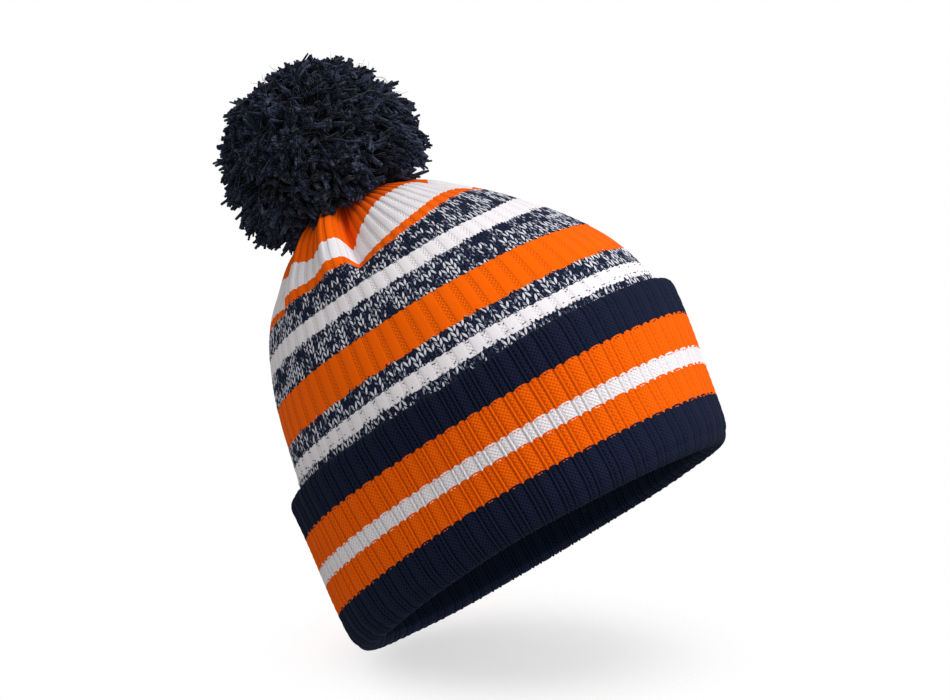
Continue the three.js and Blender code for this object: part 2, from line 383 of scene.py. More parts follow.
def ringSurface(path, along, swell):
    # a surface as a function of turn and of the distance s along the path: the path's half-width and height put
    # on the oval, with the outward normal from small differences; swell moves it along that normal
    def base(turn, s):
        radius, z = np.interp(s, along, path[:, 0]), np.interp(s, along, path[:, 1])
        return onOval(radius + 0 * turn, z + 0 * turn, turn + 0 * s)

    def surface(turn, s):
        turn, s = np.broadcast_arrays(turn, s)
        inner = np.clip(s, along[0] + 1.0, along[-1] - 1.0)
        alongRing = base(turn + 0.004, inner) - base(turn - 0.004, inner)
        normal = unit(np.cross(alongRing, base(turn, inner + 1.0) - base(turn, inner - 1.0)))
        return base(turn, s) + normal * swell(turn, s)[..., None], normal
    return surface


def unevenness(turn, s):
    # slow bulges of the stuffed fabric, up to about 1 mm
    return (0.5 * np.sin(3 * turn + 0.02 * s + 0.7) + 0.35 * np.sin(5 * turn - 0.035 * s + 2.1)
            + 0.25 * np.sin(9 * turn + 0.06 * s + 4.0))


def wander(turn, s):
    # ribs aren't quite straight: a slow sideways drift, in rib widths
    return 0.10 * np.sin(2 * turn + s / 31.0) + 0.07 * np.sin(7 * turn - s / 17.0 + 1.3)


def upright(z):
    # radians that turn the ribs back as the tube sways, so that they still look upright from the front
    return (middleAt(z) - middleAt(0.0)) / tube["halfWidth"]


def gatherAt(turn):
    # 1 where the ribs are drawn together, less on the front right, where the fabric is stretched smooth
    share, place, width = tube["stretched"]
    return 1 - share * bump(turnFrom(turn, place), 0, width)


# Body ribs: smooth knit panels, with sunken dotted purl channels between them, and a line of painted
# shade at each edge.
bodyRib = {
    "pitch": 9.2,           # mm, for the purl dots' spacing
    "smoothMiddle": 0.0,    # in rib widths from the panel's middle
    "smoothHalf": 0.335,
    "line": 0.032,
    "panel": 0.26, "panelHalf": 0.33,       # mm raised, and half its width in rib widths
    "channel": 0.34, "channelFrom": 0.29,
    "marlStitch": 0.6, "marlCourse": 3.2, "marlSlant": 1.0,
}


def bodyPhase(turn, s):
    lean = upright(s + foldTop)
    return (turn - facing + lean) / (2 * np.pi) * tube["bodyRibs"] + 0.2 * wander(turn, s)


def bodyStrength(turn, s):
    # the ribs are flatter where the fabric is stretched, low on the front right, and deep where the crown
    # draws in
    stretched = 1 - 0.4 * np.cos(turn - math.radians(-35))
    return (0.75 * stretched + 0.8 * ease((s - 78) / 45)) * ease((s + 24) / 8)


def bodyRelief(turn, s):
    side = np.abs(wrapped(bodyPhase(turn, s)))
    panel = np.clip(1 - (side / bodyRib["panelHalf"]) ** 2, 0, 1)
    channel = ease((side - bodyRib["channelFrom"]) / 0.08)
    return bodyStrength(turn, s) * (bodyRib["panel"] * panel - bodyRib["channel"] * channel)


def marlRelief(turn, s):
    # V-shaped stitches, two wales to a rib: each leg is a round strand that slants up from the wale's middle
    leg = np.abs((2 * bodyPhase(turn, s)) % 1 - 0.5) * 2
    course = s / bodyRib["marlCourse"] - bodyRib["marlSlant"] * leg
    strand = np.abs(np.sin(np.pi * course)) ** 0.6
    acrossLeg = np.sin(np.pi * np.clip(leg, 0, 1)) ** 0.45
    return bodyRib["marlStitch"] * (strand * acrossLeg - 0.45)


# Where the gathered fabric doubles over: degrees round the crown, depth in mm, the side that the lobe laps
# from, and how far above the cuff the fold starts. Rises are slow waves that lift the courses: degrees round,
# mm, width in degrees, and how far above the cuff they start and are full.
crown = {
    "folds": [(-83, 10.5, 1, 70), (-124, 6.0, -1, 74), (8, 4.0, -1, 84), (44, 5.5, 1, 84), (92, 7.0, 1, 82),
              (133, 5.0, -1, 80), (172, 4.5, 1, 78)],
    "rises": [(14, 11.0, 36, 44, 88), (-28, 6.0, 18, 70, 98), (-50, 6.0, 15, 92, 116),
              (-98, -9.5, 20, 90, 112), (75, 3.0, 20, 60, 100), (150, 3.0, 18, 60, 100)],
    "wall": 3.4, "reach": 12.0, "lobe": 0.42,
    "drop": 0.45,           # how far the courses drop in a valley, as a share of its depth
}


def crownFold(turn, s):
    # each fold is a steep wall with a rounded lobe before it, and a valley that eases out beyond it;
    # gives the depth pressed in, and how far the courses drop
    pressed, dropped = 0 * turn * s, 0 * turn * s
    for place, depth, side, start in crown["folds"]:
        away = side * turnFrom(turn, place)
        grow = depth * ease((s - start) / 28)
        valley = ease((away + 1.5) / crown["wall"]) * np.exp(-np.maximum(away, 0) / crown["reach"])
        lobe = bump(away, -8.5, 6.5)
        pressed = pressed + grow * (valley - crown["lobe"] * lobe)
        dropped = dropped + grow * (crown["drop"] * valley - 0.05 * lobe)
    for place, height, width, start, full in crown["rises"]:
        lift = height * ease((s - start) / (full - start))
        dropped = dropped - lift * bump(turnFrom(turn, place), 0, width)
    return pressed, dropped


# The body's outline from behind the cuff to the drawn hole, as half-width and height.
bodyOutline = [(104.0, 57), (104.4, 66), (105.0, 80), (102.8, 94), (95.6, 118), (83.6, 142), (67.6, 166),
               (54.5, 178.5), (41, 190), (25, 198.5), (13, 202), (7, 201), (3, 198.5), (0.3, 197)]
bodyPath, bodyAlong = evenCurve(bodyOutline, 0.5)
bodyAlong = bodyAlong - np.interp(foldTop, bodyPath[:100, 1], bodyAlong[:100])     # 0 where it leaves the cuff
bodyEnd = bodyAlong[-1]
bodyTop = np.argmax(bodyPath[:, 1])


def bodySwell(turn, s):
    radius = np.interp(s, bodyAlong, bodyPath[:, 0])
    return unevenness(turn, s) * ease(radius / 60) - crownFold(turn, s)[0] * ease((radius - 4) / 30)


bodySurface = ringSurface(bodyPath, bodyAlong, bodySwell)


def bodyCourse(turn, level):
    # the place along the outline of a knitted course, where the gathered crown lifts or drops it
    radius = np.interp(level, bodyAlong, bodyPath[:, 0])
    return level - crownFold(turn, level)[1] * ease((radius - 4) / 30)


def bodyKnit(turn, level):
    # plain rib: the place and normal of a point in the fabric's own terms
    s = bodyCourse(turn, level)
    place, normal = bodySurface(turn, s)
    fade = ease(np.interp(s, bodyAlong, bodyPath[:, 0]) / 26)
    return place + normal * (bodyRelief(turn, level) * fade)[..., None], normal


# Courses of each yarn above the cuff: name, yarn, height in mm along the fabric.
bodyBands = [("marl_edge", "marl", 5.2), ("white_low", "white", 8.3), ("marl_low", "marl", 10.0),
             ("orange_wide", "orange", 21.0), ("marl_middle", "marl", 17.0), ("white_middle", "white", 10.0),
             ("marl_high", "marl", 15.0), ("orange_thin", "orange", 6.0), ("white_crown", "white", 23.0),
             ("orange_crown", "orange", 200.0)]
legHeights = rng.uniform(0.1, 1.0, 4 * tube["bodyRibs"]) ** 1.6
turns = np.linspace(-np.pi, np.pi, tube["columns"], endpoint=False)[None, :]


def marlTeeth(level):
    # the marl's last stitches stand up into the next yarn as uneven teeth, one to each leg of a stitch
    legs = 4 * bodyPhase(turns, level)
    tall = legHeights[np.floor(legs).astype(int) % len(legHeights)]
    return 2.3 * tall * (1 - np.abs(2 * (legs % 1) - 1)) - 0.5


def plainTeeth(level):
    # a plain yarn's last stitches end in small even points
    return 0.7 * (1 - np.abs(2 * ((2 * bodyPhase(turns, level)) % 1) - 1)) - 0.35


def bandLevels(low, high, lowEdge, highEdge):
    # rows of courses between two colour changes; the changes' own shapes bend only the nearest rows
    rows = max(2, round((high - low) / tube["courseStep"]) + 1)
    level = np.linspace(low, high, rows)[:, None]
    reach = min(3.0, (high - low) / 2)
    return level + lowEdge * (1 - ease((level - low) / reach)) + highEdge * (1 - ease((high - level) / reach))


def weaveGrid(phase, level, wrap):
    # UV in the fabric's own terms, ribs by mm, with one column more than the points
    u = np.concatenate([phase, phase[:, :1] + wrap], axis=1)
    return np.stack([u, np.concatenate([level, level[:, :1]], axis=1)], axis=-1)


def buildBody():
    edges = np.r_[bodyAlong[0], np.cumsum([height for _, _, height in bodyBands])]
    edges[-1] = bodyEnd
    shapes = [0 * turns] + [marlTeeth(edge) if yarn == "marl" else plainTeeth(edge)
                            for (_, yarn, _), edge in zip(bodyBands[:-1], edges[1:])] + [0 * turns]
    knits = {"white": bodyWhite, "orange": bodyOrange, "marl": marlKnit}
    for (name, yarn, _), low, high, lowEdge, highEdge in zip(bodyBands, edges, edges[1:], shapes, shapes[1:]):
        level = bandLevels(low, high, lowEdge, highEdge)
        if yarn == "marl":
            s = bodyCourse(turns, level)
            place, normal = bodySurface(turns, s)
            lift = 0.4 * bodyRelief(turns, level) + marlRelief(turns, level)
            points = place + normal * lift[..., None]
            wales = 2 * bodyPhase(turns, level)
            uvGrid = weaveGrid(wales, level / bodyRib["marlCourse"], 2 * tube["bodyRibs"])
        else:
            points = bodyKnit(turns, level)[0]
            uvGrid = weaveGrid(bodyPhase(turns, level), level, tube["bodyRibs"])
        ringPiece("body_" + name, points, uvGrid, gatherAt(turns), material=knits[yarn], slot=yarn + "_yarn",
                  body="hat", replaces=["knit_shell"])


def purlBumps(name, knit, turn, level, radius, material, slot, replaces):
    # stitches of one yarn that show past a colour change: each is a small domed patch, u along and v across,
    # lifted by (1 - u*u)(1 - v*v)
    u, v = np.linspace(-1, 1, 7)[None, None, :], np.linspace(-1, 1, 4)[None, :, None]
    long = rng.uniform(0.35, 0.65, (len(turn), 1, 1))
    high = rng.uniform(0.2, 0.3, (len(turn), 1, 1))
    up = level[:, None, None] + v * high * (1 - 0.5 * u * u)
    place, normal = knit(turn[:, None, None] + u * long / radius, up)
    lift = 0.55 * (1 - u ** 2) * (1 - v ** 2) + 0.02
    verts, quads = manyGrids(place + normal * lift[..., None])
    addPiece(name, verts, quads, material, slot, "hat", replaces, {"strandToneAndPaintedLight": np.zeros(len(verts))})


def bodyBumps():
    # single navy stitches scattered in the low white band, near both of its edges
    ribs = np.arange(tube["bodyRibs"])
    for name, level, offsets in (("low", bodyBands[0][2] + 1.9, (-0.1, 0.44, 0.58)),
                                 ("high", bodyBands[0][2] + bodyBands[1][2] - 1.4, (0.43, 0.57))):
        phase = (ribs[:, None] + np.array(offsets)[None, :]).ravel()
        phase = (phase + rng.normal(0, 0.03, phase.shape))[rng.random(len(phase)) > 0.2]
        turn = facing - upright(level + foldTop) + phase / tube["bodyRibs"] * 2 * np.pi
        purlBumps("body_marl_stitches_" + name, bodyKnit, turn, level + rng.normal(0, 0.35, len(turn)), 100.0,
                  navyStitch, "marl_yarn", ["knit_shell"])


# Cuff ribs: wide and narrow purl panels, with a raised smooth ridge between them.
cuffRib = {
    "pitch": 13.4,          # mm, for the purl dots' spacing
    "smoothMiddle": 0.31,   # in repeats from the wide panel's middle
    "smoothHalf": 0.058,
    "line": 0.034,
    "ridge": 0.8, "groove": 0.85, "panel": 0.22,    # mm
    "grooves": (0.242, 0.378),                      # at the panels' edges
    "scallop": 0.85,                                # mm, at each colour change
}
cuffBands = [("navy_low", "navy", 21.9), ("orange_low", "orange", 15.4), ("white", "white", 8.2),
             ("orange_high", "orange", 17.0), ("navy_high", "navy", 10.0)]

liningOutline = [(0.3, 193.5), (5, 195.2), (9, 196), (23, 192.6), (36.5, 184.5), (49.2, 173), (61, 160),
                 (77.4, 136.8), (89.5, 114), (96.4, 92), (99.0, 80), (98.7, 46), (97.2, 20)]
brimArc = arc((101.2, 7.4), 5.6, 190, 350, 9)
facePath = [(109.2, 14), (110.6, 46), (111.8, 76)]
foldArc = arc((108.2, 80.6), 3.6, 10, 180, 7)
behindPath = [(104.7, 72), (104.3, 64), (104.0, 57)]
cuffPath, cuffAlong = evenCurve(liningOutline + brimArc + facePath + foldArc + behindPath, 0.5)
cuffAlong = cuffAlong - cuffAlong[np.argmin(cuffPath[:, 1])]          # 0 at the lowest course


def cuffSwell(turn, s):
    radius, z = np.interp(s, cuffAlong, cuffPath[:, 0]), np.interp(s, cuffAlong, cuffPath[:, 1])
    outside = 0.35 + 0.65 * ease((s - 4) / 20)
    uneven = unevenness(turn, s) * ease(radius / 60) * ease((cuffAlong[-1] - s) / 15) * outside
    # the lining, whose outside is its cavity side, is folded in together with the body over it
    beside = np.interp(z, bodyPath[:bodyTop, 1], bodyAlong[:bodyTop])
    folded = np.maximum(crownFold(turn, beside)[0], 0) * ease((radius - 14) / 20) * ease((z - 120) / 20)
    return uneven + folded


cuffSurface = ringSurface(cuffPath, cuffAlong, cuffSwell)


def cuffPhase(turn, s):
    # 0 is the middle of a wide panel
    lean = upright(np.clip(s, 0, foldTop))
    return (turn - facing + lean) / (2 * np.pi) * tube["cuffRepeats"] + 0.35 * wander(turn, s)


def cuffRelief(turn, s):
    # wide panel from -0.25 to 0.25, ridges at +-0.31, narrow panel round 0.5
    side = np.abs(wrapped(cuffPhase(turn, s)))
    ridge = bump(side, cuffRib["smoothMiddle"], 0.045)
    grooves = sum(bump(side, place, 0.028) for place in cuffRib["grooves"])
    dome = 1 - np.clip(side / 0.24, 0, 1) ** 2
    narrowDome = 1 - np.clip((0.5 - side) / 0.12, 0, 1) ** 2
    ends = ease((cuffAlong[-1] - s) / 8) * ease((s - cuffAlong[0] - 10) / 40)
    ends = ends * (0.6 + 0.4 * ease((s - 2) / 8))
    panels = cuffRib["panel"] * (dome + 0.8 * narrowDome)
    return gatherAt(turn) * ends * (cuffRib["ridge"] * ridge - cuffRib["groove"] * grooves + panels)


def cuffScallop(phase):
    # colour changes arch up over the panels and dip to a tooth at the ridges
    side = np.abs(wrapped(phase))
    arches = 0.3 * bump(side, 0.0, 0.15) + 0.3 * bump(side, 0.5, 0.05)
    return cuffRib["scallop"] * (0.4 - 1.2 * bump(side, cuffRib["smoothMiddle"], 0.055) + arches)


def cuffKnit(turn, s):
    place, normal = cuffSurface(turn, s)
    return place + normal * cuffRelief(turn, s)[..., None], normal


def cuffRing(name, level, yarn, replaces, skip=1):
    # skip takes every so many columns, where the fabric is out of sight
    around, level = turns[:, ::skip], level[:, ::skip]
    knits = {"navy": cuffNavy, "orange": cuffOrange, "white": cuffWhite}
    uvGrid = weaveGrid(cuffPhase(around, level), level, tube["cuffRepeats"])
    return ringPiece(name, cuffKnit(around, level)[0], uvGrid, gatherAt(around), material=knits[yarn],
                     slot=yarn + "_yarn", body="hat", replaces=replaces)


def buildCuff():
    # one fabric from the lining's crown down, round the brim, up the outer face, over the fold and behind it
    flat = 0 * turns
    rim, turnIn, turnOut = -38.0, -8.0, 10.0
    liningLevels = np.linspace(cuffAlong[0], rim, 100)[:, None] + flat
    cuffRing("lining_crown", liningLevels, "navy", ["lining"], skip=2)
    cuffRing("lining_rim", bandLevels(rim, turnIn, flat, flat), "navy", ["lining"])
    cuffRing("brim_turn_knit", bandLevels(turnIn, turnOut, flat, flat), "navy", ["brim_turn"])
    edges = 4.0 + np.r_[turnOut - 4.0, np.cumsum([height for _, _, height in cuffBands])]
    shapes = [flat] + [cuffScallop(cuffPhase(turns, edge)) for edge in edges[1:-1]] + [flat]
    for (name, yarn, _), low, high, lowEdge, highEdge in zip(cuffBands, edges, edges[1:], shapes, shapes[1:]):
        cuffRing("cuff_" + name, bandLevels(low, high, lowEdge, highEdge), yarn, ["cuff_face"])
    cuffRing("cuff_fold", bandLevels(edges[-1], cuffAlong[-1], flat, flat), "navy",
             ["cuff_top_fold", "cuff_backing"])
    # stitches of the neighbouring yarn just below each colour change: change, yarn, places in the repeat
    stitches = {"navy": navyStitch, "orange": orangeStitch, "white": whiteStitch}
    repeats = np.arange(tube["cuffRepeats"])
    for number, yarn, offsets in ((1, "orange", (-0.06, 0.05)), (2, "white", (-0.05, 0.06)),
                                  (3, "orange", (-0.11, 0.0, 0.11, 0.5)), (4, "navy", (-0.07, 0.04))):
        phase = (repeats[:, None] + np.array(offsets)[None, :]).ravel()
        phase = (phase + rng.normal(0, 0.012, phase.shape))[rng.random(len(phase)) > 0.14]
        turn = facing - upright(edges[number]) + phase / tube["cuffRepeats"] * 2 * np.pi
        level = edges[number] - 1.0 + cuffScallop(phase) + rng.normal(0, 0.1, len(phase))
        turn = turn - 0.35 * wander(turn, level) / tube["cuffRepeats"] * 2 * np.pi
        purlBumps(f"cuff_edge_stitches_{number}", cuffKnit, turn, level, tube["halfWidth"], stitches[yarn],
                  yarn + "_yarn", ["cuff_face"])


def seamRidge(name, knit, low, high, width, height, replaces):
    # the linking stitches up the back: a half-round ridge carried along the fabric, pinched every 2.4 mm
    # in slanting loops; v runs across it
    level = np.arange(low, high, 0.4)[:, None]
    v = np.linspace(-1, 1, 11)[None, :]
    spine = knit(np.full((1, 1), np.pi / 2), level)[0]
    radius = np.maximum(np.hypot(spine[..., 0] - middleX, spine[..., 1]), 8.0)
    place, normal = knit(np.pi / 2 + v * width / 2 / radius, level)
    loops = 0.62 + 0.38 * np.abs(np.sin(np.pi * (level / 2.4 + 0.45 * np.abs(v))))
    lift = height * np.sqrt(1 - v ** 2) * loops - 0.35
    points = place + normal * lift[..., None]
    addPiece(name, points.reshape(-1, 3), gridQuads(*points.shape[:2], False), seamThread, "seam_thread",
             "hat", replaces, {"strandToneAndPaintedLight": (lift * 0.3).ravel()})


plainYarns = {"navy": "#1a2138", "orange": "#ff6600", "white": "#f3eef1"}
# the two numbers after each colour are how dark the painted shade is in the purl dots and in the grooves
cuffNavy = ribKnitAcrylic("navyRibKnitReverse", plainYarns["navy"], 0.2, 0.08, cuffRib)
cuffOrange = ribKnitAcrylic("orangeRibKnitReverse", plainYarns["orange"], 0.62, 0.5, cuffRib)
cuffWhite = ribKnitAcrylic("whiteRibKnitReverse", plainYarns["white"], 0.78, 0.66, cuffRib)
bodyOrange = ribKnitAcrylic("orangeRibKnitFace", plainYarns["orange"], 0.6, 0.66, bodyRib)
bodyWhite = ribKnitAcrylic("whiteRibKnitFace", plainYarns["white"], 0.86, 0.8, bodyRib)
marlKnit = marlKnitAcrylic()
navyStitch = yarnTexture("navyPurlStitch", [(0.3, "#0b1127"), (0.7, "#1a2138")], 1200.0)
orangeStitch = yarnTexture("orangePurlStitch", [(0.3, "#ee5a00"), (0.7, "#ff6c08")], 1200.0)
whiteStitch = yarnTexture("whitePurlStitch", [(0.3, "#e6e0e3"), (0.7, "#f6f2f4")], 1200.0)
tieYarn = yarnTexture("pliedTieYarn", [(0.3, "#0b1022"), (0.7, "#232a40")], 1400.0)
seamThread = yarnTexture("linkingThread", [(0.3, "#0c1124"), (0.7, "#262c42")], 1400.0)
# the pompom's ramp runs from painted shade, near black, to a pale slate painted highlight
pomYarn = yarnTexture("cutPomYarn", [(0.3, "#02040d"), (0.6, "#0f162b"), (1.0, "#4a526b")], 700.0,
                      pomLook, 0.6)
satin = wovenSatin()
print("materials made")

# The camera looks slightly up at the hat, which leans in its frame.
view = {
    "azimuth": 20.0,
    "elevation": -8.8,
    "roll": 30.0,
    "distance": 1250.0,
    "focal": 95.0,
    "aim": (13.5, 104.5),       # to the camera's right and up the hat's axis
}


def makeCamera():
    a, e = math.radians(view["azimuth"]), math.radians(view["elevation"])
    back = np.array([math.sin(a) * math.cos(e), -math.cos(a) * math.cos(e), math.sin(e)])
    right = np.array([math.cos(a), math.sin(a), 0.0])
    up = np.cross(back, right)
    lean = math.radians(view["roll"])
    cameraRight = right * math.cos(lean) - up * math.sin(lean)
    cameraUp = np.cross(back, cameraRight)
    aim = right * view["aim"][0] + np.array([0, 0, view["aim"][1]])
    data = bpy.data.cameras.new("camera")
    data.lens = view["focal"]
    camera = addObject("camera", data)
    axes = np.stack([cameraRight, cameraUp, back, (aim + back * view["distance"]) * mm], axis=1)
    camera.matrix_world = Matrix([*axes.tolist(), [0, 0, 0, 1]])
    bpy.context.scene.camera = camera
    return cameraRight, cameraUp, back


cameraRight, cameraUp, cameraBack = makeCamera()

buildBody()
bodyBumps()
print("body knitted")
buildCuff()
print("cuff and lining knitted")

seamRidge("shell_seam_stitches", bodyKnit, 2.0, bodyEnd - 14, 2.4, 1.3, ["shell_back_seam"])
seamRidge("cuff_seam_stitches", cuffKnit, 6.0, 82.0, 2.4, 1.3, ["cuff_back_seam"])
seamRidge("lining_seam_stitches", cuffKnit, cuffAlong[0] + 14, -14.0, 3.0, 1.5, ["lining_seam"])
print("seams linked")


def acrossPath(path, closed=False, steep=0.8, whole=False):
    # two directions square to a path and to each other; they start from upright, or from sideways where the
    # path itself is steep, at each point or on the whole
    ahead = np.roll(path, -1, axis=-2) - np.roll(path, 1, axis=-2) if closed else np.gradient(path, axis=-2)
    tangent = unit(ahead)
    steepness = np.abs(tangent[..., 2:])
    if whole:
        steepness = np.full_like(steepness, steepness.mean())
    sideA = unit(np.cross(tangent, np.where(steepness > steep, [1.0, 0, 0], [0, 0, 1.0])))
    return sideA, np.cross(tangent, sideA)


def tubeAlong(path, radius, corners, closed=False):
    # round tubes carried along many paths at once: path is tubes x points x 3, radius one number a point
    sideA, sideB = acrossPath(path, closed)
    corner = np.arange(corners)[:, None] * 2 * np.pi / corners
    ring = np.cos(corner) * sideA[..., None, :] + np.sin(corner) * sideB[..., None, :]
    return path[..., None, :] + ring * np.asarray(radius)[..., None, None]


def pliedYarn(name, path, radius, pitch, closed, replaces, body="hat", material=tieYarn, slot="tie_yarn",
              plies=3):
    # plies twisted round a path: ply k stands off it at a turn of k/plies + (length along)/pitch
    steps = np.linalg.norm(np.diff(np.vstack([path, path[:1]]), axis=0), axis=1)
    along = np.r_[0, np.cumsum(steps)]
    length = along[-1] if closed else along[-2]
    share = along[:-1] / length
    sideA, sideB = acrossPath(path, closed, 0.7, True)
    angle = 2 * np.pi * (np.arange(plies)[:, None] / plies + max(1, round(length / pitch)) * share)
    strands = path + radius * 0.5 * (np.cos(angle)[..., None] * sideA + np.sin(angle)[..., None] * sideB)
    thick = np.full(strands.shape[:2], radius * 0.55)
    if not closed:
        thick[:, [0, -1]] = 0.02                    # the ends close to a point
    tubes = tubeAlong(strands, thick, 8, closed)
    if closed:
        tubes = np.concatenate([tubes, tubes[:, :1]], axis=1)
    verts, quads = manyGrids(tubes, True)
    return addPiece(name, verts, quads, material, slot, body, replaces, {"strandToneAndPaintedLight": np.zeros(len(verts))})


# The drawn yarns, the knot and the pompom's tie, each inside its CAD node's box.
tie = {"yarn": 1.15, "pitch": 6.0, "strands": 4}


def gatherRing(name, node):
    # a running stitch round the drawn hole: it dips and rises 12 times
    low, high = nodeBox(node)
    middle, ring = (low + high) / 2, (high[0] - low[0]) / 2 - tie["yarn"] - 0.4
    t = np.linspace(0, 2 * np.pi, 180, endpoint=False)
    reach = ring + 0.35 * np.cos(12 * t)
    path = middle + np.stack([reach * np.cos(t), reach * np.sin(t), 0.4 * np.sin(12 * t)], axis=1)
    pliedYarn(name + "_plied", path, tie["yarn"], tie["pitch"], True, [node])


def tieStrands(name, node, body):
    # upright strands side by side, filling the node's round
    start, end = nodeBox(node)
    middle, reach = (start + end) / 2, (end[0] - start[0]) / 2
    z = np.linspace(start[2], end[2], 24)
    for number in range(tie["strands"]):
        turn = 2 * np.pi * number / tie["strands"] + 0.12 * (z - z[0])
        off = reach * 0.52
        path = np.stack([middle[0] + off * np.cos(turn), middle[1] + off * np.sin(turn), z], axis=1)
        pliedYarn(f"{name}_{number + 1}", path, reach * 0.46, 4.0, False, [node], body)


def tieKnot():
    # an overhand knot pulled tight: a trefoil, x = (2 + cos 3t) cos 2t, y = (2 + cos 3t) sin 2t, z = sin 3t
    low, high = nodeBox("tie_knot")
    t = np.linspace(0, 2 * np.pi, 160, endpoint=False)
    half = (high[0] - low[0]) / 2
    reach = (half - 1.5) / 3 * (2 + np.cos(3 * t))
    middle = np.array([(low[0] + high[0]) / 2, 0, low[2] + 4.6])
    path = middle + np.stack([reach * np.cos(2 * t), reach * np.sin(2 * t), 2.7 * np.sin(3 * t)], axis=1)
    pliedYarn("tie_knot_loops", path, 1.45, 5.0, True, ["tie_knot"])
    z = np.linspace(low[2] + 5, high[2], 20)
    for number, side in enumerate((-1, 1)):
        strand = np.stack([middle[0] + side * 1.0 + 0 * z, 0 * z, z], axis=1)
        pliedYarn(f"tie_knot_strand_{number + 1}", strand, 1.0, 4.0, False, ["tie_knot"])


def pomBinding():
    # three tight turns of yarn round the bundle's waist
    low, high = nodeBox("pom_binding")
    middle, reach = (low + high) / 2, (high[0] - low[0]) / 2 - 0.75
    t = np.linspace(0, 6 * np.pi, 200)
    height = np.linspace(-1, 1, 200) * ((high[2] - low[2]) / 2 - 0.75)
    path = middle + np.stack([reach * np.cos(t), reach * np.sin(t), height], axis=1)
    pliedYarn("pom_binding_turns", path, 0.72, 4.0, False, ["pom_binding"], "pom")


gatherRing("crown_gather", "crown_gather_yarn")
gatherRing("lining_gather", "lining_gather_yarn")
tieKnot()
tieStrands("tie_lower_strand", "tie_shank_lower", "tie_lower")
tieStrands("tie_upper_strand", "tie_shank_upper", "tie_upper")
tieStrands("pom_tie_strand", "pom_tie_cord", "pom")
pomBinding()
print("tie knotted")

# The blank care label hangs free from its stitched top edge.
label = {"curl": 1.6, "wave": 0.25}


def careLabel():
    # one satin sheet, flat at its stitched top and curling towards the cavity at its foot
    low, high = nodeBox("care_label")
    middle, half = (low + high) / 2, (high - low) / 2
    across = np.linspace(-1, 1, 26)[None, :]
    depth = np.linspace(0, 1, 44)[:, None]
    wave = label["wave"] * np.sin(3 * across + 4 * depth) * depth
    curl = label["curl"] * ease(depth) * (0.6 + 0.4 * across) + wave
    x = middle[0] + half[0] * across + 0 * depth
    points = np.stack([x, middle[1] - curl, high[2] - depth * (high[2] - low[2]) + 0 * x], axis=-1)
    piece = addPiece("care_label_satin", points.reshape(-1, 3), gridQuads(44, 26, False), satin,
                     "label_satin", "label", ["care_label"])


def labelTack():
    # a row of zigzag stitches over the label's top edge
    low, high = nodeBox("label_bar_tack")
    x = np.linspace(low[0] + 0.4, high[0] - 0.4, 300)
    zigzag = 2 * np.abs(2 * ((x - low[0]) / 1.6 % 1) - 1) - 1
    z = (high[2] + low[2]) / 2 - 0.5 + zigzag * 1.0
    path = np.stack([x, np.full_like(x, (low[1] + high[1]) / 2 - 0.1), z], axis=1)
    pliedYarn("label_tack_stitches", path, 0.42, 3.0, False, ["label_bar_tack"], "hat", seamThread,
              "seam_thread", 2)


labelTack()
careLabel()
print("label stitched in")

# The pompom: bundles of plied yarn, cut and frayed, over a middle ball darkened with painted shade, with
# loose fibres among them.
pom = {
    "centre": (middleX + 0.5, 0.0, 233.5),
    "half": (52.4, 52.4, 49.5),      # out to the longest ends
    "core": 0.66,                    # the middle ball, darkened with painted shade, as a share of that
    "ends": 3900,
    "plies": 3,
    "plyRadius": 0.74,
    "rings": 7,
    "clumps": 620,
    "tufts": 170,                    # larger bunches, each leaning its own way
    "lean": 0.24,
    "wisps": 1500,
    "pieces": 3,
    "skirt": -0.2,                   # ends that start below this share of the height rest on the crown
    "skirtKeep": 0.55,               # how far they would be pressed up as the pompom tips over
}


def evenDirections(count):
    # a spiral of nearly even directions
    k = np.arange(count) + 0.5
    z = 1 - 2 * k / count
    turn = k * math.pi * (3 - math.sqrt(5))
    flat = np.sqrt(1 - z ** 2)
    return np.stack([flat * np.cos(turn), flat * np.sin(turn), z], axis=1)


def aboveCrown(points, room):
    # the lowest ends lie on the crown
    outline = np.array(bodyOutline[3:11])[::-1]
    reach = np.hypot(points[..., 0] - middleX, points[..., 1] / 0.92)
    floor = np.interp(reach, outline[:, 0], outline[:, 1]) + room
    points[..., 2] = np.maximum(points[..., 2], floor)
    return points


def pomStrands(count, spread, longest):
    # each end is a curve from the middle outwards, drawn towards its clump, bent a little and drooping
    heads = unit(evenDirections(count) + rng.normal(0, 0.04, (count, 3)))
    heads = heads[heads[:, 2] > -0.93]
    clumps = unit(rng.normal(0, 1, (pom["clumps"], 3)))
    nearest = np.argmax(heads @ clumps.T, axis=1)
    pull = rng.uniform(0.25, 0.75, (len(heads), 1))
    tufts = np.argmax(heads @ unit(rng.normal(0, 1, (pom["tufts"], 3))).T, axis=1)
    lean = rng.normal(0, pom["lean"], (pom["tufts"], 3))[tufts]
    tips = unit(heads * (1 - pull) + clumps[nearest] * pull + lean + rng.normal(0, spread, heads.shape))
    reach = 0.945 + rng.normal(0, 0.04, pom["clumps"])[nearest] + rng.normal(0, 0.025, len(heads))
    reach = np.minimum(reach, longest) * (1 + 0.1 * bump(tips[:, 2], -0.6, 0.35))  # the lowest ends splay out
    t = np.linspace(0, 1, pom["rings"])[None, :, None]
    bend = rng.normal(0, 0.06, (len(heads), 1, 3)) * np.sin(np.pi * t)
    bend = bend + rng.normal(0, 0.022, (len(heads), 1, 3)) * np.sin(2.6 * np.pi * t)
    curve = heads[:, None, :] * 0.56 * (1 - t) + tips[:, None, :] * reach[:, None, None] * t + bend
    curve = curve * np.array(pom["half"]) + np.array(pom["centre"])
    curve[..., 2] -= 2.5 * t[..., 0] ** 2
    return aboveCrown(curve, 2.0), heads


